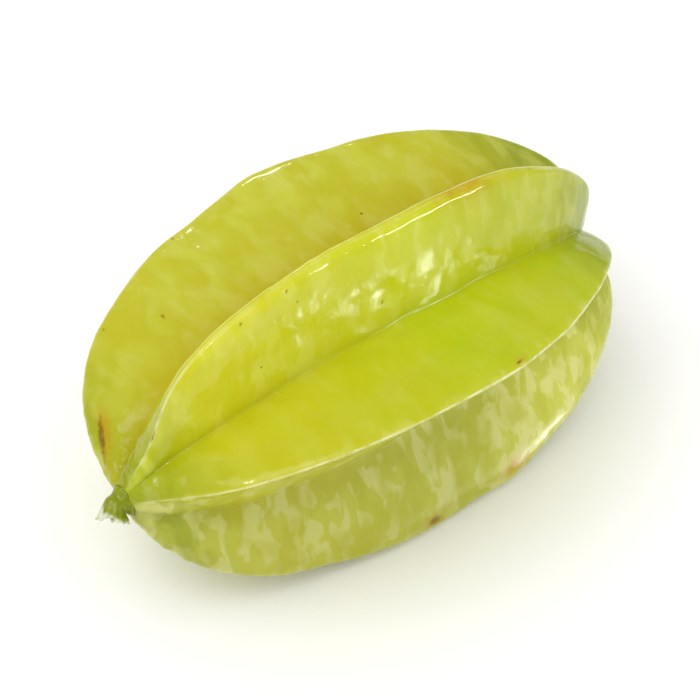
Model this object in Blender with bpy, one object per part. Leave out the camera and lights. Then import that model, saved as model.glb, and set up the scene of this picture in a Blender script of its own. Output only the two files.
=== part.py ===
# Star fruit (carambola), picked, lying on two of its five ribs.
#
# Part frame: +X runs along the fruit from the stalk end to the blossom end, +Z is up,
# and the origin is on the surface it lies on, under the middle of its length and width.
# While the fruit is shaped, its own axis is the X axis. Lengths are in millimetres and
# angles in degrees, measured about that axis from straight up (+Z) towards +Y.

import math

import bmesh
import bpy
from mathutils import Vector

MM = 0.001

# Where the fruit's axis meets the skin at each end.
STALK_POLE = -53.85
BLOSSOM_POLE = 47.3
# Within about this distance from the axis the skin is drawn in to the pole.
END_PULL = 8.0

# The crest of each rib, in order round the fruit:
#   angle   direction of the rib where the fruit is widest
#   height  distance from the axis to the crest there
#   widest  place along the axis where it is widest
#   stalk_end, blossom_end    how far the crest reaches each way
#   stalk_power, blossom_power    fullness of its outline: 2 is an ellipse, more is squarer
#   bend, twist    degrees the rib leans, one way to each end (bend) or there and back (twist)
#   edge    radius of its rounded edge
RIBS = (
    {"name": "top", "angle": -5.1, "height": 34.0, "widest": 1.25, "stalk_end": -47.5,
     "blossom_end": 50.6, "stalk_power": 3.08, "blossom_power": 2.13,
     "bend": 1.3, "twist": 0.4, "edge": 1.5},
    {"name": "far", "angle": 68.1, "height": 38.85, "widest": -1.15, "stalk_end": -53.3,
     "blossom_end": 56.1, "stalk_power": 2.33, "blossom_power": 1.93,
     "bend": 9.9, "twist": 1.0, "edge": 1.3},
    {"name": "low_far", "angle": 139.0, "height": 30.85, "widest": 1.3, "stalk_end": -51.5,
     "blossom_end": 52.6, "stalk_power": 2.2, "blossom_power": 2.0,
     "bend": 0.0, "twist": 0.0, "edge": 1.3},
    {"name": "low_near", "angle": 224.25, "height": 32.3, "widest": 5.3, "stalk_end": -53.0,
     "blossom_end": 53.4, "stalk_power": 2.18, "blossom_power": 1.94,
     "bend": -1.5, "twist": -0.7, "edge": 1.3},
    {"name": "near", "angle": 299.5, "height": 33.95, "widest": 1.95, "stalk_end": -50.8,
     "blossom_end": 52.4, "stalk_power": 2.25, "blossom_power": 1.6,
     "bend": 2.8, "twist": 0.3, "edge": 1.2},
)

# The groove that follows each rib on its way round. Its lean is the same kind of figure.
GROOVES = (
    {"name": "top_to_far", "angle": 31.5, "height": 17.6, "bend": 5.5},
    {"name": "far_to_low_far", "angle": 104.0, "height": 17.6, "bend": 5.0},
    {"name": "low_far_to_low_near", "angle": 181.5, "height": 16.4, "bend": -0.7},
    {"name": "low_near_to_near", "angle": 262.0, "height": 17.4, "bend": 0.7},
    {"name": "near_to_top", "angle": 331.5, "height": 18.3, "bend": 5.4},
)
GROOVE_SHAPE = {"widest": 1.3, "stalk_end": -51.5, "blossom_end": 47.2,
                "stalk_power": 2.1, "blossom_power": 2.35, "twist": 0.0}

# How finely the skin is divided. Columns gather towards each crest.
COLUMNS_PER_FLANK = 8
ROWS_ALONG = 48
COLUMN_GATHER = 1.35
# How deep the resting ribs are pressed flat where they touch the surface.
REST_DEPTH = 0.25

SKIN_COLOUR = (0.50, 0.52, 0.02)
SKIN_ROUGHNESS = 0.3

# The stub of stalk: a short flared collar that leaves the pole along the axis and droops.
STUB_GAP = 0.3
STUB_LENGTH = 3.5
STUB_STRAIGHT_SHARE = 0.3
STUB_BASE_RADIUS = 1.8
STUB_RIM_RADIUS = 2.4
STUB_DROOP = (-0.62, -0.48, -0.62)
STUB_STATIONS = 5
STUB_SIDES_RESOLUTION = 4
STUB_COLOUR = (0.30, 0.33, 0.05)
STUB_ROUGHNESS = 0.45

# Stands in for zero, in the formulas and in metres.
TINY = 1e-6
TINY_METRES = 1e-7


def clear_scene():
    for thing in list(bpy.data.objects):
        bpy.data.objects.remove(thing, do_unlink=True)


def lengthwise(line, turn):
    # One lengthwise line of the skin. turn runs from 0 at the stalk pole to pi at the
    # blossom pole. Each half is a quarter of a superellipse.
    cosine = math.cos(turn)
    sine = math.sin(turn)
    stalk_half = cosine > 0
    power = line["stalk_power"] if stalk_half else line["blossom_power"]
    end = line["stalk_end"] if stalk_half else line["blossom_end"]
    pole = STALK_POLE if stalk_half else BLOSSOM_POLE
    reach = (abs(cosine) ** power + sine ** power) ** (1 / power)
    along = line["widest"] + (end - line["widest"]) * abs(cosine) / reach
    radius = line["height"] * sine / reach
    along += (pole - end) * math.exp(-(radius / END_PULL) ** 2)
    lean = line["bend"] * cosine + line["twist"] * math.sin(2 * turn)
    return along, radius, math.radians(line["angle"] + lean)


def across_axis(radius, angle):
    return Vector((0, math.sin(angle), math.cos(angle))) * radius


def flank_point(rib, groove, turn, fraction):
    # A point between a crest (fraction 0) and the groove beside it (fraction 1). The fall
    # from the crest follows a hyperbola, which rounds the edge to the rib's edge radius.
    crest_along, crest_radius, crest_angle = lengthwise(rib, turn)
    groove_along, groove_radius, groove_angle = lengthwise(groove, turn)
    spread = math.remainder(groove_angle - crest_angle, 2 * math.pi)
    sideways = groove_radius * math.sin(spread)
    fall = crest_radius - groove_radius * math.cos(spread)
    softness = max(rib["edge"] * fall / max(sideways ** 2, TINY), TINY)
    drop = math.hypot(fraction, softness) - softness
    drop /= math.hypot(1, softness) - softness
    outward = across_axis(1, crest_angle)
    tangent = across_axis(1, crest_angle + math.pi / 2)
    along = crest_along + (groove_along - crest_along) * drop
    point = outward * (crest_radius - fall * drop) + tangent * (sideways * fraction)
    point.x = along
    return point


def skin_point(column, turn):
    # Columns are counted from the crest of the first rib: down one flank to a groove, up
    # the next flank to a crest, and so on round the fruit.
    per_rib = 2 * COLUMNS_PER_FLANK
    index = column // per_rib
    step = column % per_rib
    groove = {**GROOVE_SHAPE, **GROOVES[index]}
    if step <= COLUMNS_PER_FLANK:
        rib = RIBS[index]
        fraction = step / COLUMNS_PER_FLANK
    else:
        rib = RIBS[(index + 1) % len(RIBS)]
        fraction = (per_rib - step) / COLUMNS_PER_FLANK
    return flank_point(rib, groove, turn, fraction ** COLUMN_GATHER)


def shape_skin(mesh_data):
    # Each vertex of the sphere gives its column round the pole and its turn from it.
    columns = 2 * COLUMNS_PER_FLANK * len(RIBS)
    for vert in mesh_data.verts:
        turn = math.acos(max(-1.0, min(1.0, -vert.co.x)))
        around = math.atan2(vert.co.y, vert.co.z) % (2 * math.pi)
        column = round(around / (2 * math.pi) * columns) % columns
        vert.co = skin_point(column, turn) * MM


def press_flat(mesh_data):
    # The two low ribs are cut level where they rest, and the cuts are closed.
    floor = min(vert.co.z for vert in mesh_data.verts) + REST_DEPTH * MM
    geometry = mesh_data.verts[:] + mesh_data.edges[:] + mesh_data.faces[:]
    cut = bmesh.ops.bisect_plane(mesh_data, geom=geometry, plane_co=(0, 0, floor),
                                 plane_no=(0, 0, -1), clear_outer=True, dist=TINY_METRES)
    edges = [item for item in cut["geom_cut"] if isinstance(item, bmesh.types.BMEdge)]
    bmesh.ops.holes_fill(mesh_data, edges=edges, sides=0)
    for vert in mesh_data.verts:
        if abs(vert.co.z - floor) < TINY_METRES:
            vert.co.z = floor


def plain_material(name, colour, roughness):
    material = bpy.data.materials.new(name)
    material.use_nodes = True
    surface = material.node_tree.nodes["Principled BSDF"]
    surface.inputs["Base Color"].default_value = (*colour, 1)
    surface.inputs["Roughness"].default_value = roughness
    surface.inputs["Metallic"].default_value = 0
    return material


def fruit_body(collection):
    mesh_data = bmesh.new()
    columns = 2 * COLUMNS_PER_FLANK * len(RIBS)
    bmesh.ops.create_uvsphere(mesh_data, u_segments=columns, v_segments=ROWS_ALONG, radius=1)
    turn_to_x = Vector((0, 0, -1)).rotation_difference(Vector((-1, 0, 0))).to_matrix()
    bmesh.ops.rotate(mesh_data, verts=mesh_data.verts, matrix=turn_to_x)
    shape_skin(mesh_data)
    press_flat(mesh_data)
    bmesh.ops.recalc_face_normals(mesh_data, faces=mesh_data.faces)
    mesh = bpy.data.meshes.new("fruit_body")
    mesh_data.to_mesh(mesh)
    mesh_data.free()
    mesh.shade_smooth()
    mesh.materials.append(plain_material("yellow_green_skin", SKIN_COLOUR, SKIN_ROUGHNESS))
    body = bpy.data.objects.new("fruit_body", mesh)
    collection.objects.link(body)
    return body


def stub_centre(share):
    # The stub's centre line swings from the fruit's axis to the droop, as a quadratic curve.
    start = Vector((STALK_POLE - STUB_GAP, 0, 0))
    straight = Vector((-1, 0, 0))
    droop = Vector(STUB_DROOP).normalized()
    halfway = start + straight * (STUB_LENGTH * STUB_STRAIGHT_SHARE)
    end = halfway + droop * (STUB_LENGTH * (1 - STUB_STRAIGHT_SHARE))
    return start.lerp(halfway, share).lerp(halfway.lerp(end, share), share)


def stalk_stub(collection):
    curve = bpy.data.curves.new("stalk_stub", "CURVE")
    curve.dimensions = "3D"
    curve.bevel_depth = STUB_BASE_RADIUS * MM
    curve.bevel_resolution = STUB_SIDES_RESOLUTION
    curve.use_fill_caps = True
    spline = curve.splines.new("POLY")
    spline.points.add(STUB_STATIONS - 1)
    flare = STUB_RIM_RADIUS / STUB_BASE_RADIUS - 1
    for index, point in enumerate(spline.points):
        share = index / (STUB_STATIONS - 1)
        point.co = (*(stub_centre(share) * MM), 1)
        point.radius = 1 + flare * share ** 2
    curve.materials.append(plain_material("green_stalk", STUB_COLOUR, STUB_ROUGHNESS))
    stub = bpy.data.objects.new("stalk_stub", curve)
    collection.objects.link(stub)
    return stub


def stand_on_origin(parts):
    # Moves everything so that the bottom of the whole box is centred on the origin.
    bpy.context.view_layer.update()
    depsgraph = bpy.context.evaluated_depsgraph_get()
    corners = []
    for part in parts:
        evaluated = part.evaluated_get(depsgraph)
        mesh = evaluated.to_mesh()
        corners += [evaluated.matrix_world @ vert.co for vert in mesh.vertices]
        evaluated.to_mesh_clear()
    low = Vector([min(corner[axis] for corner in corners) for axis in range(3)])
    high = Vector([max(corner[axis] for corner in corners) for axis in range(3)])
    middle = (low + high) / 2
    for part in parts:
        part.location -= Vector((middle.x, middle.y, low.z))


def main():
    clear_scene()
    collection = bpy.data.collections.new("star_fruit")
    bpy.context.scene.collection.children.link(collection)
    parts = [fruit_body(collection), stalk_stub(collection)]
    stand_on_origin(parts)


main()
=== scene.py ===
import math
import bpy
import numpy as np
from mathutils import Matrix, Vector


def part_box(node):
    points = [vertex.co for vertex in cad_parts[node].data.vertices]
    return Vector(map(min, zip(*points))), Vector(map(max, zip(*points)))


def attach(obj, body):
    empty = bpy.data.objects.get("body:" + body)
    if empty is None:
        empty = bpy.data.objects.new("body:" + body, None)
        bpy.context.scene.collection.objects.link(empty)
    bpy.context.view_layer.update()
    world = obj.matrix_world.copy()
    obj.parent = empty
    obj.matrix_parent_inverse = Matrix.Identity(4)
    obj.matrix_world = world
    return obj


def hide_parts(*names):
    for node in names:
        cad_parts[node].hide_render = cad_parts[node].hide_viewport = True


# Star fruit lying on two ribs: X along the fruit from stalk to blossom end, Z up.
# Lengths in the dictionaries are millimetres, angles degrees from straight up towards +Y.

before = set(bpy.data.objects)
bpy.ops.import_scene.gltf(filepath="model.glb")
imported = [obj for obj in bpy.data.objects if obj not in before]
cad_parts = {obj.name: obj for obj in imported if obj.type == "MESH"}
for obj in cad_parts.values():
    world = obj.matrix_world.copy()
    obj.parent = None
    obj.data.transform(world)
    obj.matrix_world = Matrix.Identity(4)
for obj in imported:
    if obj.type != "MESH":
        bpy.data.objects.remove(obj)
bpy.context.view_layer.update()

mm = 0.001
noiseCells = 32   # softNoise repeats after this many cells


def linearColour(hexText):
    # sRGB hex to linear red, green, blue and alpha 1
    values = np.array([int(hexText[i:i + 2], 16) for i in (1, 3, 5)]) / 255
    linear = np.where(values <= 0.04045, values / 12.92, ((values + 0.055) / 1.055) ** 2.4)
    return (*linear.tolist(), 1.0)


def smoothStep(low, high, value):
    # 0 up to low and 1 from high on; a share s of the way between them gives 3 s^2 - 2 s^3
    share = np.clip((value - low) / (high - low), 0, 1)
    return share * share * (3 - 2 * share)


def bump(value, centre, width):
    # bell curve of height 1, exp(-d^2), with d the distance from the centre in widths
    return np.exp(-((value - centre) / width) ** 2)


def softNoise(points, cell, seed):
    # Value noise from -1 to 1: random values on a cubic lattice of the given cell size,
    # blended between the eight nearest corners with a smooth step along each axis.
    table = np.random.default_rng(seed).uniform(-1, 1, (noiseCells, noiseCells, noiseCells))
    scaled = points / np.asarray(cell, float)
    base = np.floor(scaled).astype(int)
    part = smoothStep(0, 1, scaled - base)
    total = 0
    for corner in ((a, b, c) for a in (0, 1) for b in (0, 1) for c in (0, 1)):
        index = (base + corner) % noiseCells
        weight = np.prod(np.where(corner, part, 1 - part), axis=-1)
        total = total + weight * table[index[..., 0], index[..., 1], index[..., 2]]
    return total


def unevenness(points, parts):
    # sum of soft noises, each given by its height, the size of its cells and its seed
    return sum(height * softNoise(points, cell, seed) for height, cell, seed in parts)


def gridNormals(points):
    # cross product of the two grid directions, columns wrapping round
    alongStep = np.gradient(points, axis=0)
    aroundStep = np.roll(points, -1, axis=1) - np.roll(points, 1, axis=1)
    normals = np.cross(aroundStep, alongStep)
    return normals / np.maximum(np.linalg.norm(normals, axis=-1, keepdims=True), 1e-12)


def closedMesh(name, points, attributes):
    # Puts a grid of rows by columns into a mesh. Columns wrap round, and the first and the
    # last row are each one point, so the surface is closed like a sphere.
    rows, columns = points.shape[:2]
    middle = points[1:-1].reshape(-1, 3)
    verts = np.concatenate([points[:1, 0], middle, points[-1:, 0]]) * mm
    index = 1 + np.arange((rows - 2) * columns).reshape(rows - 2, columns)
    beside = np.roll(index, -1, axis=1)
    quads = np.stack([index[:-1], index[1:], beside[1:], beside[:-1]], axis=-1).reshape(-1, 4)
    first = np.stack([np.zeros(columns, int), index[0], beside[0]], axis=-1)
    last = np.stack([np.full(columns, len(verts) - 1), beside[-1], index[-1]], axis=-1)
    mesh = bpy.data.meshes.new(name)
    mesh.from_pydata(verts.tolist(), [], first.tolist() + quads.tolist() + last.tolist())
    for label, values in attributes.items():
        flat = np.concatenate([values[:1, 0], values[1:-1].reshape(-1), values[-1:, 0]])
        layer = mesh.attributes.new(label, "FLOAT", "POINT")
        layer.data.foreach_set("value", flat.astype(np.float32))
    mesh.shade_smooth()
    mesh.update()
    piece = bpy.data.objects.new(name, mesh)
    bpy.context.scene.collection.objects.link(piece)
    return piece


fruit = dict(
    rows=300, columnsPerFlank=32,
    crestCrowding=1.3,                    # over 1 moves columns from the grooves to the crests
    stalkPole=-53.85, blossomPole=47.3,   # where the axis meets the skin
    endPull=8.0,                          # the skin is drawn in to the poles this far out
    endSharpness=0.15,                    # share of its width that a crest keeps at its ends
    sharpensFrom=(0.95, 0.25),            # sine of the turn where that starts and is full
    bluntest=1.2,                         # most that a crest's width is of its flank's
    swellRise=0.3,                        # how far a swollen flank rises for each mm it swells
    fadeAtPoles=1.6,                      # how soon the waviness comes in from the poles
    calmCrest=0.4, calmTo=(0.5, 2.5),     # unevenness left on a crest, and where it is whole
    bead=0.06, beadWidth=0.8,             # the crests are a little thicker than the skin below
    knobsAlong=(-44, -51),                # where the knobs round the stalk come in and are full
    bumpsFade=(0.02, 0.2), knobsFade=(0.0, 0.06),   # sine of the turn where they leave the poles
    restDepth=0.25,                       # how far the resting ribs are pressed flat
    flanksMeet=0.16,                      # share of a flank over which it blends with the next
)

# unevenness as (height, size of its cells, seed); the sways are degrees round the axis
skinNoise = dict(
    crestRipple=[(0.14, 7.0, 1), (0.063, 3.2, 2)],
    crestSway=[(0.5, 13.0, 3)],
    grooveRipple=[(0.3, 6.0, 4)],
    grooveSway=[(0.8, 8.0, 5)],
    lumps=[(0.16, 11.0, 11)],
    dimples=[(0.15, 3.4, 12)],
    streaks=[(0.05, (2.2, 8.0, 8.0), 13)],
    pits=[(0.034, 1.3, 15)],
    knobs=[(0.36, 1.9, 14), (0.126, 0.9, 16)],
    ownPlace=40.0,                        # each crest and groove takes its noise this far on
)

# Crest lines. power is the fullness of the outline (2 is an ellipse), edge the half width of
# the crest, square how blunt it is, and waves its swellings and dips as (place along, width,
# height). bend and twist are degrees by which the line leans round the fruit. line is how
# strong the pale line on the crest is, partly the crest's own paleness and partly a painted
# highlight. The pairs are for the flanks before and after the crest: belly is how much they
# swell, pale how cloudy and lime how lime they are, paintedLightShade how much painted light
# brightens them or painted shade darkens them, blossomLightShade the same towards the blossom
# end, satin how much less glossy their middle is, and strokes how strong the cream strokes
# across them are, partly pale markings and partly a painted reflection of the white room.
ribs = [
    # top
    dict(angle=-5.1, height=34.0, widest=1.25, stalkEnd=-47.5, blossomEnd=51.2,
         stalkPower=3.08, blossomPower=2.13, bend=1.3, twist=0.4, edge=1.05, square=3.0,
         waves=[(4, 4, -0.2), (23, 5, 0.25), (-26, 6, 0.15)],
         belly=(0.5, 0.5), pale=(0.5, 0.3), lime=(0.62, 0.05), paintedLightShade=(0.3, -0.1),
         blossomLightShade=(-0.32, -0.05), satin=(0.0, 0.3), strokes=(0.22, 0.1), line=0.12),
    # far
    dict(angle=68.1, height=38.85, widest=-1.15, stalkEnd=-53.3, blossomEnd=56.1,
         stalkPower=2.33, blossomPower=1.93, bend=9.9, twist=1.0, edge=1.3, square=2.8,
         waves=[(0, 6, 0.8), (-14, 5, -0.3), (-33, 7, -0.5), (16, 6, -0.3), (-48, 4, -0.4)],
         belly=(0.9, 0.5), pale=(0.6, 0.6), lime=(0.0, 0.3), paintedLightShade=(-0.24, 0.0),
         blossomLightShade=(0.0, 0.0), satin=(0.2, 0.3), strokes=(0.16, 0.4), line=0.45),
    # hidden
    dict(angle=139.0, height=30.85, widest=1.3, stalkEnd=-51.5, blossomEnd=52.6,
         stalkPower=2.2, blossomPower=2.0, bend=0.0, twist=0.0, edge=1.3, square=2.6,
         waves=[(-20, 7, -0.3), (9, 6, 0.3), (28, 5, -0.3)],
         belly=(0.6, 0.6), pale=(0.6, 0.7), lime=(0.4, 0.3), paintedLightShade=(0.0, 0.0),
         blossomLightShade=(0.0, 0.0), satin=(0.3, 0.3), strokes=(0.4, 0.5), line=0.4),
    # low
    dict(angle=224.25, height=32.3, widest=5.3, stalkEnd=-53.0, blossomEnd=53.4,
         stalkPower=2.18, blossomPower=1.94, bend=-1.5, twist=-0.7, edge=1.3, square=2.6,
         waves=[(-24, 6, -0.4), (5, 5, -0.4), (25, 7, -0.25), (-8, 5, 0.15)],
         belly=(0.5, 1.4), pale=(0.6, 1.0), lime=(0.4, 0.32), paintedLightShade=(0.0, -0.44),
         blossomLightShade=(0.1, 0.46), satin=(0.3, 2.4), strokes=(0.5, 0.88), line=0.3),
    # near
    dict(angle=299.5, height=33.95, widest=1.95, stalkEnd=-50.8, blossomEnd=52.4,
         stalkPower=2.25, blossomPower=1.6, bend=2.8, twist=0.3, edge=0.7, square=2.2,
         waves=[(-12, 6, 0.15), (14, 5, -0.15)],
         belly=(-0.5, 0.6), pale=(0.9, 0.32), lime=(0.5, 0.85), paintedLightShade=(-0.2, -0.1),
         blossomLightShade=(0.16, -0.02), satin=(0.9, 0.1), strokes=(0.8, 0.06), line=0.65),
]
# the groove after each rib, and what the grooves share where they don't say otherwise
grooves = [
    dict(angle=31.5, height=17.6, bend=5.5),
    dict(angle=104.0, height=17.6, bend=5.0),
    dict(angle=181.5, height=16.4, bend=-0.7),
    dict(angle=264.5, height=16.8, bend=0.7),
    dict(angle=331.5, height=18.3, bend=5.4, blossomPower=2.05),
]
grooveShape = dict(widest=1.3, stalkEnd=-51.5, blossomEnd=47.2, stalkPower=2.1,
                   blossomPower=2.5, twist=0.0)


def lengthwiseLines(lines, turn):
    # One line along the fruit for each column: a quarter superellipse each side of its
    # widest place, drawn in to the pole where it nears the axis. turn runs from 0 to pi.
    take = {key: np.array([line[key] for line in lines])[None, :]
            for key in ("angle", "height", "bend", *grooveShape)}
    cosine = np.cos(turn)
    sine = np.sin(turn)
    stalkHalf = cosine > 0
    power = np.where(stalkHalf, take["stalkPower"], take["blossomPower"])
    end = np.where(stalkHalf, take["stalkEnd"], take["blossomEnd"])
    pole = np.where(stalkHalf, fruit["stalkPole"], fruit["blossomPole"])
    reach = (np.abs(cosine) ** power + sine ** power) ** (1 / power)
    along = take["widest"] + (end - take["widest"]) * np.abs(cosine) / reach
    radius = take["height"] * sine / reach
    along = along + (pole - end) * bump(radius, 0, fruit["endPull"])
    lean = take["bend"] * cosine + take["twist"] * np.sin(2 * turn)
    return along, radius, np.radians(take["angle"] + lean)


def noisePlace(along, number, level):
    # where a line takes its noise from: its place along, and a row of its own
    ownRow = np.broadcast_to(number * skinNoise["ownPlace"], along.shape)
    return np.stack([along, ownRow, np.full_like(along, level)], axis=-1)


def skinGrid():
    # Rows run from the stalk pole to the blossom pole. Each column keeps its share of the
    # way from a crest to a groove, and falls from the crest as a rounded wedge:
    # fall = ((share^n + edge^n)^(1/n) - edge), scaled to reach the groove.
    perFlank = fruit["columnsPerFlank"]
    column = np.arange(2 * perFlank * len(ribs))
    ribBefore = column // (2 * perFlank)
    step = column % (2 * perFlank)
    rising = step > perFlank
    ribIndex = np.where(rising, (ribBefore + 1) % len(ribs), ribBefore)
    even = np.where(rising, 2 * perFlank - step, step) / perFlank
    share = (even ** fruit["crestCrowding"] + (1 - np.cos(np.pi * even)) / 2) / 2
    turn = np.linspace(0, np.pi, fruit["rows"] + 1)[:, None]
    crestAlong, crestRadius, crestAngle = lengthwiseLines([ribs[i] for i in ribIndex], turn)
    grooveLines = [{**grooveShape, **grooves[i]} for i in ribBefore]
    grooveAlong, grooveRadius, grooveAngle = lengthwiseLines(grooveLines, turn)

    # the waviness of the crests and grooves fades out at the poles
    body = np.clip(np.sin(turn) * fruit["fadeAtPoles"], 0, 1)
    crestPlace = noisePlace(crestAlong, ribIndex, 0)
    groovePlace = noisePlace(grooveAlong, ribBefore, 1)
    crestRadius = crestRadius + body * unevenness(crestPlace, skinNoise["crestRipple"])
    crestAngle = crestAngle + np.radians(body * unevenness(crestPlace, skinNoise["crestSway"]))
    grooveRadius = grooveRadius + body * unevenness(groovePlace, skinNoise["grooveRipple"])
    grooveAngle = grooveAngle + np.radians(body * unevenness(groovePlace, skinNoise["grooveSway"]))
    for number, rib in enumerate(ribs):
        for centre, width, rise in rib["waves"]:
            crestRadius = crestRadius + (ribIndex == number) * rise * bump(crestAlong, centre, width)

    # the wedge from each crest down to its groove, in the plane of the crest
    spread = np.remainder(grooveAngle - crestAngle + np.pi, 2 * np.pi) - np.pi
    sideways = grooveRadius * np.sin(spread)
    fall = crestRadius - grooveRadius * np.cos(spread)
    square = np.array([ribs[i]["square"] for i in ribIndex])[None, :]
    edge = np.array([ribs[i]["edge"] for i in ribIndex])[None, :]
    sharp = smoothStep(*fruit["sharpensFrom"], np.sin(turn))
    edge = edge * (1 + (fruit["endSharpness"] - 1) * sharp)
    edge = np.minimum(edge / np.maximum(np.abs(sideways), 1e-6), fruit["bluntest"])
    wedge = (share ** square + edge ** square) ** (1 / square) - edge
    wedge = wedge / ((1 + edge ** square) ** (1 / square) - edge)
    belly = np.array([ribs[i]["belly"][0 if up else 1] for i, up in zip(ribIndex, rising)])
    swell = belly * np.sin(np.pi * share) * body
    radius = crestRadius - fall * wedge + swell * fruit["swellRise"]
    across = sideways * share + np.sign(sideways) * swell
    along = crestAlong + (grooveAlong - crestAlong) * wedge
    upward = np.cos(crestAngle)
    outward = np.sin(crestAngle)
    points = np.stack([along, outward * radius + upward * across,
                       upward * radius - outward * across], axis=-1)
    crestGap = np.hypot(across, crestRadius - radius)
    fields = dict(turn=turn, share=share, rib=ribIndex, rising=rising, crestGap=crestGap)
    fields = {key: np.broadcast_to(value, along.shape) for key, value in fields.items()}
    return points, fields


def roughenSkin(points, fields):
    # Moves the skin along its normal: broad lumps, dimples, low streaks across each rib and
    # pits, a bead along each crest, and knobs where the skin gathers round the stalk.
    sine = np.sin(fields["turn"])
    height = sum(unevenness(points, skinNoise[key]) for key in ("lumps", "dimples", "streaks", "pits"))
    calm = fruit["calmCrest"]
    height = height * (calm + (1 - calm) * smoothStep(*fruit["calmTo"], fields["crestGap"]))
    height = height + fruit["bead"] * bump(fields["crestGap"], 0, fruit["beadWidth"])
    height = height * smoothStep(*fruit["bumpsFade"], sine)
    atStalk = smoothStep(*fruit["knobsAlong"], points[..., 0]) * smoothStep(*fruit["knobsFade"], sine)
    height = height + atStalk * unevenness(points, skinNoise["knobs"])
    return points + gridNormals(points) * height[..., None]


def pressFlat(points):
    # the crests under the fruit are held at the level of the surface they rest on
    floorLevel = points[..., 2].min() + fruit["restDepth"]
    points[..., 2] = np.maximum(points[..., 2], floorLevel)
    return points


def centreOn(points, node):
    # the shift that puts the middle of the grid's base on the middle of the CAD node's base
    low, high = [np.array(corner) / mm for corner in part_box(node)]
    ownLow = points.reshape(-1, 3).min(axis=0)
    ownHigh = points.reshape(-1, 3).max(axis=0)
    shift = (low + high - ownLow - ownHigh) / 2
    shift[2] = low[2] - ownLow[2]
    return shift


def buildFruit():
    # the smooth form gives the place and the masks, so small bumps don't move either
    smooth, fields = skinGrid()
    axisPlace = centreOn(pressFlat(smooth.copy()), "fruit_body")
    points = pressFlat(roughenSkin(smooth, fields)) + axisPlace
    points[..., 2] -= points[..., 2].min()
    masks = skinMasks(smooth, fields)
    return closedMesh("starFruitSkin", points, masks), axisPlace, list(masks)


# where along the fruit each part of its colouring comes in and is full
zones = dict(
    lime=(-40, 15), pale=(-35, 15), strokes=(-35, 15), cloudyRidge=(-40, -15), ridgeEnd=(30, 5),
    ochre=(12, -12), stalkLine=(-34, -44), lineStart=(-53, -48), stalkGreen=(-37, -54),
    blossomGreen=(28, 48), blossomLightShade=(0, 28),
)
# and where it lies round the fruit, as a middle and a width in degrees
# paintedGlowGroove is a painted glow of light along the groove between the top and near ribs
sides = dict(cloudyRidge=(60, 12), ochre=(22, 21), lessGreen=(50, 25), paintedGlowGroove=(331, 13))

# marks on the skin: place along, degrees round, half length, half width
orangeTints = [
    (16, 354, 6.5, 1.5), (-48.6, 66.5, 1.1, 1.0), (-50.4, 63.5, 1.9, 0.7), (13.7, 230.5, 4.0, 1.3),
    (-4.8, 228, 1.8, 1.3), (8, 300.3, 1.5, 0.4), (30, 140, 5, 1.6), (-12, 180, 3, 2),
]
brownScars = [
    (-50.4, 67.0, 2.4, 0.55), (-4.8, 228.1, 1.7, 0.9), (7.6, 300.3, 1.0, 0.25),
    (-47.3, 356.7, 0.8, 0.25), (-4.7, 341.2, 0.35, 0.35), (22, 137, 1.2, 0.6),
    (-21.5, 353.5, 0.3, 0.25), (-30.5, 353.8, 0.35, 0.25), (-28, 301, 0.3, 0.3),
    (-23, 301, 0.25, 0.3), (-18, 69.7, 0.35, 0.3), (-38, 72.4, 0.4, 0.3), (-30, 59.8, 0.35, 0.3),
]


def flankValue(key, fields):
    # each flank has its own value, and they run together at the crests and in the grooves
    before = np.array([rib[key][0] for rib in ribs])
    after = np.array([rib[key][1] for rib in ribs])
    rib, rising = fields["rib"], fields["rising"]
    own = np.where(rising, before[rib], after[rib])
    overCrest = np.where(rising, after[rib], before[rib])
    overGroove = np.where(rising, after[(rib - 1) % len(ribs)], before[(rib + 1) % len(ribs)])
    nearCrest = smoothStep(fruit["flanksMeet"], 0, fields["share"]) / 2
    nearGroove = smoothStep(1 - fruit["flanksMeet"], 1, fields["share"]) / 2
    return own + (overCrest - own) * nearCrest + (overGroove - own) * nearGroove


def markShare(points, around, marks):
    # bell-shaped spots measured along the fruit and round it at the point's own radius
    radius = np.hypot(points[..., 1], points[..., 2])
    total = 0
    for along, angle, length, width in marks:
        turned = np.radians(np.remainder(around - angle + 180, 360) - 180) * radius
        total = total + np.exp(-((points[..., 0] - along) / length) ** 2 - (turned / width) ** 2)
    return np.clip(total, 0, 1)


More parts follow.
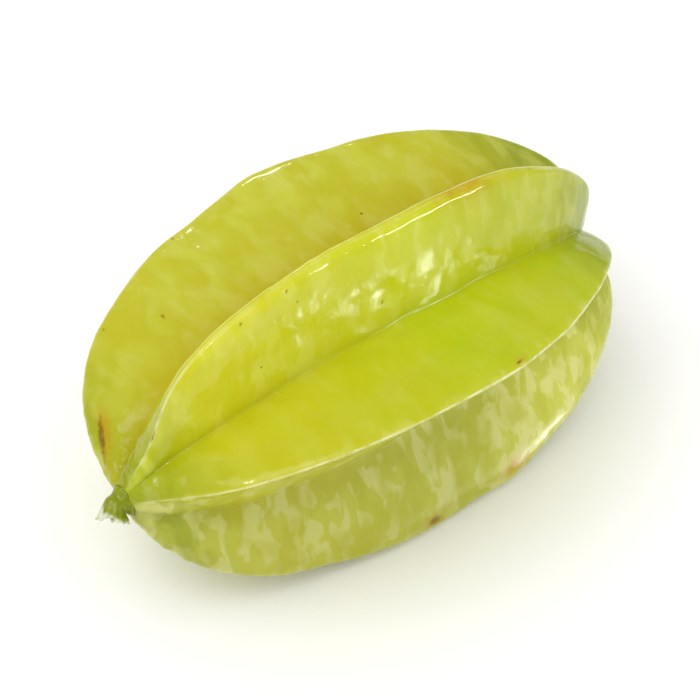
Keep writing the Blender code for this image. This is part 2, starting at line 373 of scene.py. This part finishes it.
def skinMasks(points, fields):
    # shares from 0 to 1 that the skin's material reads, from each point's place on the fruit
    around = np.degrees(np.arctan2(points[..., 1], points[..., 2]))
    along = points[..., 0]
    share = fields["share"]
    zone = {key: smoothStep(*ends, along) for key, ends in zones.items()}

    # ochre deepens towards the groove between the top and far ribs: the skin's own tint, and a painted
    # glow of light thrown between the flanks
    ochre = bump(around, *sides["ochre"]) * smoothStep(0.15, 0.8, share)
    ochre = ochre * (0.75 + 0.25 * zone["ochre"])
    lime = flankValue("lime", fields) * (0.1 + 0.9 * zone["lime"])
    pale = flankValue("pale", fields) * (0.85 + 0.15 * zone["pale"])
    pale = pale * (1 - 0.6 * smoothStep(0.7, 1.0, share))   # grooves have fewer clouds
    cloudyRidge = bump(around, *sides["cloudyRidge"]) * zone["cloudyRidge"] * zone["ridgeEnd"]
    pale = (pale + 0.3 * cloudyRidge) * (1 - 0.8 * ochre)
    # cream strokes across the ribs: partly pale markings of the skin and partly a painted reflection
    # of the white room
    strokes = flankValue("strokes", fields) * (0.75 + 0.25 * zone["strokes"])

    # both ends are greener, the blossom end only on top
    stalkGreen = zone["stalkGreen"] * (0.9 - 0.5 * bump(around, *sides["lessGreen"]))
    upperSide = smoothStep(-0.6, 0.2, np.cos(np.radians(around + 20)))
    green = np.maximum(stalkGreen, 0.9 * zone["blossomGreen"] * upperSide)

    # painted light and shade: each flank is made brighter or darker for the light that falls on it,
    # and the groove between the top and near ribs gets a painted glow
    paintedLightShade = flankValue("paintedLightShade", fields) + flankValue("blossomLightShade", fields) * zone["blossomLightShade"]
    paintedLightShade = paintedLightShade + 0.2 * bump(np.remainder(around, 360), *sides["paintedGlowGroove"])
    satin = flankValue("satin", fields) * smoothStep(0.16, 0.4, share)

    # the pale line of each crest, partly its own paleness and partly a painted highlight, evens out
    # towards the stalk and stops short of it
    line = np.array([rib["line"] for rib in ribs])[fields["rib"]]
    line = (line + (0.45 - line) * zone["stalkLine"]) * zone["lineStart"]
    return dict(crestGap=np.minimum(fields["crestGap"], 20) / 20, limeShare=lime, paleShare=pale,
                strokeAndReflectionShare=strokes, ochreAndGlowShare=ochre, greenShare=green,
                paintedLightShadeShare=0.5 + 0.5 * paintedLightShade, satinShare=satin, paleCrestAndHighlightShare=line,
                tintShare=markShare(points, around, orangeTints),
                scarShare=markShare(points, around, brownScars))


def addNode(tree, kind, settings=None, inputs=None, links=None):
    # One node, with its settings, input values, and links as {input: (node, output)}. Sockets
    # go by name or number: Map Range takes its value at 0, the range it reads at 1 and 2 and
    # the one it gives at 3 and 4; Mix takes its factor at 0 and its colours at 6 and 7, and
    # gives a colour at 2.
    node = tree.nodes.new(kind)
    for key, value in (settings or {}).items():
        setattr(node, key, value)
    for key, value in (inputs or {}).items():
        node.inputs[key].default_value = value
    for key, (source, output) in (links or {}).items():
        tree.links.new(source.outputs[output], node.inputs[key])
    return node


skinLook = dict(
    yellow="#bcb812", lime="#aebe00", ochre="#c0a206", green="#7f8e00", pale="#cdd04e",
    cream="#dcda84", crest="#ecebc0", rim="#94783a", orange="#b98a06", scar="#7a5610",
    speck="#4a4a12",
    speckSpacing=7.5,                     # between the places where a speck may be
    smooth=0.04, dull=0.11, satin=0.26,   # roughness of the wax, and what a satin flank adds
    ior=1.38, glow=0.2, glowDepth=3.0,    # light that goes into the flesh and comes out again
    glowSpread=(1.0, 0.8, 0.15),          # how far its red, green and blue go
    dimpleDepth=0.2, dimpleStrength=0.2, poreDepth=0.03, poreStrength=0.22,
)

# soft patches: their length along the fruit, their width across it, and where the pattern
# starts, so that no two are alike
skinPatches = dict(
    broad=(16, 14, 3), cloud=(4.8, 9.0, 11), stroke=(3.0, 6.5, 5), grain=(0.9, 0.9, 8),
    crestBreaks=(3, 12, 71), bruises=(2.2, 9, 21), blush=(3, 3, 31), wax=(2.5, 4, 41),
    dimple=(1.1, 1.7, 51), pore=(0.35, 0.35, 61),
)

# Colours laid one over the other, each by the product of its shares. A share is a mask of the
# skin, or a pattern with (low, high, share at low, share at high).
bodyColours = [
    ("lime", ["limeShare", ("broad", 0.2, 0.75, 0.65, 1.15)]),
    ("ochre", ["ochreAndGlowShare", ("broad", 0.3, 0.6, 0.8, 1.0)]),
    ("green", ["greenShare"]),
    ("pale", ["paleShare", ("cloud", 0.34, 0.66, 0.3, 0.85)]),
    # cream: pale strokes of the skin and a painted reflection of the white room
    ("cream", ["strokeAndReflectionShare", ("cloud", 0.35, 0.6, 0.24, 0.92), ("stroke", 0.48, 0.56, 0.0, 1.0)]),
]
markColours = [
    # crest: a pale line on each crest, partly its own paleness and partly a painted highlight
    ("crest", ["paleCrestAndHighlightShare", ("crestGap", 0.005, 0.02, 1.0, 0.0),
               ("crestBreaks", 0.35, 0.6, 0.3, 1.0)]),
    ("rim", [("crestGap", 0.004, 0.014, 0.35, 0.0), ("bruises", 0.6, 0.7, 0.0, 1.0)]),
    ("orange", ["tintShare", ("blush", 0.25, 0.7, 0.28, 0.8)]),
    ("scar", [("raggedScar", 0.3, 0.95, 0.0, 0.8)]),
    ("speck", [("speckGap", 0.02, 0.05, 0.7, 0.0), ("speckChance", 0.60, 0.62, 0.0, 1.0)]),
]


def skinSources(tree, place, maskLabels):
    # what the shares of the skin read, by name: its masks, soft patches and specks
    sources = {}
    for label in maskLabels:
        sources[label] = (addNode(tree, "ShaderNodeAttribute", dict(attribute_name=label)), "Fac")
    for label, (along, across, start) in skinPatches.items():
        scale = (1 / (along * mm), 1 / (across * mm), 1 / (across * mm))
        spot = addNode(tree, "ShaderNodeMapping", {},
                       dict(Scale=scale, Location=(start, start * 2.3, 0)), dict(Vector=place))
        patches = addNode(tree, "ShaderNodeTexNoise", {},
                          dict(Scale=1.0, Detail=2.0, Roughness=0.5, Distortion=0.4),
                          dict(Vector=(spot, 0)))
        sources[label] = (patches, 0)
    specks = addNode(tree, "ShaderNodeTexVoronoi", {},
                     dict(Scale=1 / (skinLook["speckSpacing"] * mm)), dict(Vector=place))
    sources["speckGap"] = (specks, "Distance")
    sources["speckChance"] = (specks, "Color")
    fray = addNode(tree, "ShaderNodeMapRange", {}, {1: 0.25, 2: 0.75, 3: -0.2, 4: 0.2},
                   {0: sources["grain"]})
    ragged = addNode(tree, "ShaderNodeMath", dict(operation="ADD"), {},
                     {0: sources["scarShare"], 1: (fray, 0)})
    sources["raggedScar"] = (ragged, 0)
    return sources


def layColours(tree, colour, layers, sources):
    # each paint goes over the colour so far, by the product of its shares
    for paint, shares in layers:
        amount = None
        for share in shares:
            if isinstance(share, tuple):
                label, low, high, atLow, atHigh = share
                step = addNode(tree, "ShaderNodeMapRange", dict(interpolation_type="SMOOTHSTEP"),
                               {1: low, 2: high, 3: atLow, 4: atHigh}, {0: sources[label]})
                part = (step, 0)
            else:
                part = sources[share]
            if amount is None:
                amount = part
            else:
                product = addNode(tree, "ShaderNodeMath", dict(operation="MULTIPLY"), {},
                                  {0: amount, 1: part})
                amount = (product, 0)
        laid = addNode(tree, "ShaderNodeMix", dict(data_type="RGBA"),
                       {7: linearColour(skinLook[paint])}, {0: amount, 6: colour})
        colour = (laid, 2)
    return colour


def waxySkin(maskLabels):
    # Carambola skin, grown thin, waxy and translucent: a wet-looking gloss over soft pale
    # clouds and strokes that run across the ribs, the strokes partly a painted reflection, and a
    # pale line on each crest, partly a painted highlight, bruised brown at its edges.
    material = bpy.data.materials.new("waxyCarambolaSkin")
    material.use_nodes = True
    tree = material.node_tree
    surface = tree.nodes["Principled BSDF"]
    place = (addNode(tree, "ShaderNodeTexCoord"), "Object")
    sources = skinSources(tree, place, maskLabels)

    # the painted light and shade of each flank comes after its colours and before the marks
    yellow = addNode(tree, "ShaderNodeRGB")
    yellow.outputs[0].default_value = linearColour(skinLook["yellow"])
    body = layColours(tree, (yellow, 0), bodyColours, sources)
    paintedLightShade = addNode(tree, "ShaderNodeMapRange", {}, {3: 0.5, 4: 1.5}, {0: sources["paintedLightShadeShare"]})
    paintedLightShaded = addNode(tree, "ShaderNodeHueSaturation", {}, {}, dict(Color=body, Value=(paintedLightShade, 0)))
    marked, output = layColours(tree, (paintedLightShaded, 0), markColours, sources)
    tree.links.new(marked.outputs[output], surface.inputs["Base Color"])

    # the wax is thinner in soft patches, and satin down in the flanks
    wax = addNode(tree, "ShaderNodeMapRange", {},
                  {1: 0.3, 2: 0.7, 3: skinLook["smooth"], 4: skinLook["dull"]},
                  {0: sources["wax"]})
    rough = addNode(tree, "ShaderNodeMath", dict(operation="MULTIPLY_ADD"),
                    {1: skinLook["satin"]}, {0: sources["satinShare"], 2: (wax, 0)})
    tree.links.new(rough.outputs[0], surface.inputs["Roughness"])
    surface.inputs["IOR"].default_value = skinLook["ior"]
    surface.inputs["Subsurface Weight"].default_value = skinLook["glow"]
    surface.inputs["Subsurface Radius"].default_value = skinLook["glowSpread"]
    surface.inputs["Subsurface Scale"].default_value = skinLook["glowDepth"] * mm
    relief = None
    for kind in ("dimple", "pore"):
        heights = dict(Height=sources[kind])
        if relief is not None:
            heights["Normal"] = (relief, 0)
        relief = addNode(tree, "ShaderNodeBump", {},
                         dict(Strength=skinLook[kind + "Strength"],
                              Distance=skinLook[kind + "Depth"] * mm), heights)
    tree.links.new(relief.outputs[0], surface.inputs["Normal"])
    return material


# The flared collar left where the stalk broke off. start is along from the fruit's middle.
# The shares of the way are where the profile reaches the base's edge, the rim, the top of
# the inner wall and the bottom of the hollow.
collar = dict(
    rows=46, columns=120,
    baseEnd=0.08, rimStart=0.55, rimEnd=0.6, hollowEnd=0.9, innerFrom=(0.53, 0.62),
    start=-53.3, straight=1.9, drooped=2.45, droop=(-0.62, -0.48, -0.62),
    baseRadius=2.9, waistRadius=1.9, rimRadius=2.75, wall=0.3,
    waist=0.35, flarePower=1.7, hollowDepth=0.75,   # shares of the collar's length
    lobes=5, lobeTurn=0.6, lobeDepth=0.25, lobeSwell=0.1,
    fray=[(0.3, 0.8, 71), (0.18, 0.35, 72)], frayCircle=3.7, frayWidth=0.5,
    dryFrom=(0.53, 1.08), drySide=0.35, dryTurn=0.3, dryFray=0.25,
)


def collarGrid():
    # Rows run from the middle of the base out to the base's edge, up the outer wall, over the
    # rim and down the inner wall to the middle of the hollow. The wall follows a line that
    # goes straight and then droops, and its radius narrows to a waist and flares to the rim
    # as a power of the height. A cosine gives the rim its lobes, and noise on a circle its fray.
    way = np.linspace(0, 1, collar["rows"])[:, None]
    around = np.linspace(0, 2 * np.pi, collar["columns"], endpoint=False)[None, :]
    baseEnd, hollowEnd = collar["baseEnd"], collar["hollowEnd"]
    climb = np.clip((way - baseEnd) / (collar["rimStart"] - baseEnd), 0, 1)
    sink = np.clip((way - collar["rimEnd"]) / (hollowEnd - collar["rimEnd"]), 0, 1)
    height = np.where(way < collar["rimStart"], climb, 1 - collar["hollowDepth"] * sink)
    flare = height ** collar["flarePower"]
    lobe = np.cos(collar["lobes"] * around + collar["lobeTurn"])
    circle = np.stack([np.cos(around[0]), np.sin(around[0]), 0 * around[0]], axis=-1)
    ragged = unevenness(circle * collar["frayCircle"], collar["fray"])[None, :]

    waistRadius = collar["waistRadius"]
    foot = 1 - smoothStep(0, collar["waist"], height)
    radius = waistRadius + (collar["baseRadius"] - waistRadius) * foot
    radius = radius + (collar["rimRadius"] - waistRadius) * flare
    radius = radius * (1 + collar["lobeSwell"] * flare * lobe)
    radius = radius + collar["frayWidth"] * flare * ragged
    radius = radius - collar["wall"] * smoothStep(*collar["innerFrom"], way)
    radius = radius * np.sqrt(smoothStep(0, baseEnd, way) * smoothStep(1, hollowEnd, way))

    total = collar["straight"] + collar["drooped"]
    reach = height * total + flare * (collar["lobeDepth"] * lobe + ragged)
    straight = np.minimum(reach, collar["straight"])
    drooped = np.maximum(reach - collar["straight"], 0)
    droop = np.array(collar["droop"]) / np.linalg.norm(collar["droop"])
    turned = smoothStep(0, total, reach)
    centre = np.stack([collar["start"] - straight + droop[0] * drooped, droop[1] * drooped,
                       droop[2] * drooped], axis=-1)
    ahead = np.stack([-1 + (1 + droop[0]) * turned, droop[1] * turned, droop[2] * turned], axis=-1)
    ahead = ahead / np.linalg.norm(ahead, axis=-1, keepdims=True)
    side = np.cross(ahead, np.array([0.0, 0.0, 1.0]))
    side = side / np.linalg.norm(side, axis=-1, keepdims=True)
    over = np.cross(side, ahead)
    ring = np.cos(around)[..., None] * side + np.sin(around)[..., None] * over
    points = centre + radius[..., None] * ring

    drySide = collar["drySide"] * np.maximum(np.cos(around - collar["dryTurn"]), 0)
    dried = height + collar["dryFray"] * ragged + drySide * height
    return points, dict(rimShare=smoothStep(*collar["dryFrom"], dried))


calyxLook = dict(
    deepGreen="#5f6c00", green="#98a200", papery="#cfd2b4",
    strandsAlong=0.4, strandsAcross=1.4,  # fibres to a millimetre
    driesFrom=1.15, driedBy=1.5,          # rim share plus strand where the tissue dries out
    fresh=0.28, dried=0.6,                # roughness
    ior=1.38, glow=0.15, glowDepth=1.5, glowSpread=(1.0, 0.9, 0.4),
    reliefDepth=0.2, reliefStrength=0.6,
)


def driedCalyx():
    # calyx and stalk scar: green satin tissue that has dried pale and papery at its torn rim
    material = bpy.data.materials.new("driedCalyxTissue")
    material.use_nodes = True
    tree = material.node_tree
    surface = tree.nodes["Principled BSDF"]
    place = (addNode(tree, "ShaderNodeTexCoord"), "Object")
    across = calyxLook["strandsAcross"] / mm
    fibre = addNode(tree, "ShaderNodeMapping", {},
                    dict(Scale=(calyxLook["strandsAlong"] / mm, across, across)),
                    dict(Vector=place))
    strand = addNode(tree, "ShaderNodeTexNoise", {}, dict(Scale=1.0, Detail=3.0),
                     dict(Vector=(fibre, 0)))
    rim = addNode(tree, "ShaderNodeAttribute", dict(attribute_name="rimShare"))
    uneven = addNode(tree, "ShaderNodeMath", dict(operation="ADD"), {},
                     {0: (rim, "Fac"), 1: (strand, 0)})
    dry = addNode(tree, "ShaderNodeMapRange", {},
                  {1: calyxLook["driesFrom"], 2: calyxLook["driedBy"]}, {0: (uneven, 0)})
    greens = {6: linearColour(calyxLook["deepGreen"]), 7: linearColour(calyxLook["green"])}
    green = addNode(tree, "ShaderNodeMix", dict(data_type="RGBA"), greens, {0: (strand, 0)})
    pale = addNode(tree, "ShaderNodeMix", dict(data_type="RGBA"),
                   {7: linearColour(calyxLook["papery"])}, {0: (dry, 0), 6: (green, 2)})
    tree.links.new(pale.outputs[2], surface.inputs["Base Color"])
    worn = addNode(tree, "ShaderNodeMapRange", {},
                   {3: calyxLook["fresh"], 4: calyxLook["dried"]}, {0: (dry, 0)})
    tree.links.new(worn.outputs[0], surface.inputs["Roughness"])
    surface.inputs["IOR"].default_value = calyxLook["ior"]
    surface.inputs["Subsurface Weight"].default_value = calyxLook["glow"]
    surface.inputs["Subsurface Radius"].default_value = calyxLook["glowSpread"]
    surface.inputs["Subsurface Scale"].default_value = calyxLook["glowDepth"] * mm
    relief = addNode(tree, "ShaderNodeBump", {},
                     dict(Strength=calyxLook["reliefStrength"],
                          Distance=calyxLook["reliefDepth"] * mm), dict(Height=(strand, 0)))
    tree.links.new(relief.outputs[0], surface.inputs["Normal"])
    return material


def buildCollar(axisPlace):
    points, fields = collarGrid()
    return closedMesh("stalkCollar", points + axisPlace, fields)


# azimuth is degrees round from straight in front, aimRight and aimUp are from the fruit's axis
view = dict(azimuth=-38.67, elevation=46.95, distance=430.0, lens=126.5, sensor=36,
            aimRight=-4.37, aimUp=0.53)


def viewAxes():
    # directions towards the camera, to its right and up, from azimuth and elevation
    azimuth = math.radians(view["azimuth"])
    elevation = math.radians(view["elevation"])
    back = Vector((math.sin(azimuth) * math.cos(elevation),
                   -math.cos(azimuth) * math.cos(elevation), math.sin(elevation)))
    right = Vector((math.cos(azimuth), math.sin(azimuth), 0))
    return back, right, back.cross(right)


def placeCamera(axisPlace):
    back, right, up = viewAxes()
    aim = Vector(axisPlace) + right * view["aimRight"] + up * view["aimUp"]
    data = bpy.data.cameras.new("camera")
    data.sensor_width = view["sensor"]
    data.lens = view["lens"]
    data.clip_start = 0.01
    camera = bpy.data.objects.new("camera", data)
    turned = Matrix((right, up, back)).transposed().to_4x4()
    camera.matrix_world = Matrix.Translation((aim + back * view["distance"]) * mm) @ turned
    bpy.context.scene.collection.objects.link(camera)
    bpy.context.scene.camera = camera
    return aim * mm


# softboxes: direction from the fruit, distance, width and height in metres, power in watts
softboxes = dict(
    overhead=((-0.5, 0.1, 1.0), 0.9, (0.6, 0.6), 2.4),
    right=((0.56, -0.76, 0.32), 0.6, (0.32, 0.06), 1.5),
    back=((0.32, 0.82, 0.48), 0.6, (0.14, 0.03), 0.3),
    left=((-0.52, 0.15, 0.75), 0.6, (0.10, 0.06), 0.38),
    low=((0.59, -0.48, -0.65), 0.6, (0.08, 0.05), 0.36),
    front=((0.405, -0.835, -0.36), 0.6, (0.09, 0.05), 0.6),
)
room = dict(glow=1.0, reflected=0.28)     # brightness of the white room, and of its reflection


def areaLight(name, aim, direction, distance, size, power):
    data = bpy.data.lights.new(name, "AREA")
    data.shape = "RECTANGLE"
    data.size, data.size_y = size
    data.energy = power
    lamp = bpy.data.objects.new(name, data)
    towards = Vector(direction).normalized()
    lamp.matrix_world = (Matrix.Translation(aim + towards * distance)
                         @ towards.to_track_quat("Z", "Y").to_matrix().to_4x4())
    bpy.context.scene.collection.objects.link(lamp)
    return lamp


def lightScene(aim, skin, calyx):
    world = bpy.data.worlds.new("studio")
    bpy.context.scene.world = world
    world.use_nodes = True
    tree = world.node_tree
    # the reflection of the room is dimmer than the room, so the skin keeps its depth of colour
    ray = addNode(tree, "ShaderNodeLightPath")
    strength = addNode(tree, "ShaderNodeMapRange", {}, {3: room["glow"], 4: room["reflected"]},
                       {0: (ray, "Is Glossy Ray")})
    tree.nodes["Background"].inputs["Color"].default_value = (1, 1, 1, 1)
    tree.links.new(strength.outputs[0], tree.nodes["Background"].inputs["Strength"])
    lamps = {name: areaLight(name + "Softbox", aim, *numbers) for name, numbers in softboxes.items()}

    # the small softboxes give only the wet glints, so that they don't flatten the flanks
    for name in ("right", "back", "left", "low", "front"):
        lamps[name].visible_diffuse = False

    # Two of them shine up through the floor, like light that a polished table sends back, and
    # the front one through the ribs too, whose shadows would hide the glints in the flanks.
    wholeFruit = bpy.data.collections.new("wholeFruit")
    wholeFruit.objects.link(skin)
    wholeFruit.objects.link(calyx)
    calyxOnly = bpy.data.collections.new("calyxOnly")
    calyxOnly.objects.link(calyx)
    for name, blockers in (("low", wholeFruit), ("front", calyxOnly)):
        lamps[name].light_linking.receiver_collection = wholeFruit
        lamps[name].light_linking.blocker_collection = blockers
    bpy.context.scene.view_settings.view_transform = "Standard"


# matt paper, in metres; it lies just under the fruit so that the two don't flicker
paper = dict(colour="#f9f9f9", roughness=0.9, reach=3.0, level=-0.00005)


def layFloor():
    reach, level = paper["reach"], paper["level"]
    corners = [(-reach, -reach, level), (reach, -reach, level), (reach, reach, level),
               (-reach, reach, level)]
    mesh = bpy.data.meshes.new("floor")
    mesh.from_pydata(corners, [], [(0, 1, 2, 3)])
    floor = bpy.data.objects.new("floor", mesh)
    material = bpy.data.materials.new("paleFloor")
    material.use_nodes = True
    surface = material.node_tree.nodes["Principled BSDF"]
    surface.inputs["Base Color"].default_value = linearColour(paper["colour"])
    surface.inputs["Roughness"].default_value = paper["roughness"]
    mesh.materials.append(material)
    bpy.context.scene.collection.objects.link(floor)


fruitPiece, axisPlace, maskLabels = buildFruit()
fruitPiece.data.materials.append(waxySkin(maskLabels))
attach(fruitPiece, "root")
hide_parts("fruit_body")
print("stage: skin", len(fruitPiece.data.polygons), "faces")

collarPiece = buildCollar(axisPlace)
collarPiece.data.materials.append(driedCalyx())
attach(collarPiece, "root")
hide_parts("stalk_stub")
print("stage: collar", len(collarPiece.data.polygons), "faces")

aim = placeCamera(axisPlace)
lightScene(aim, fruitPiece, collarPiece)
layFloor()
print("stage: camera, light and floor")
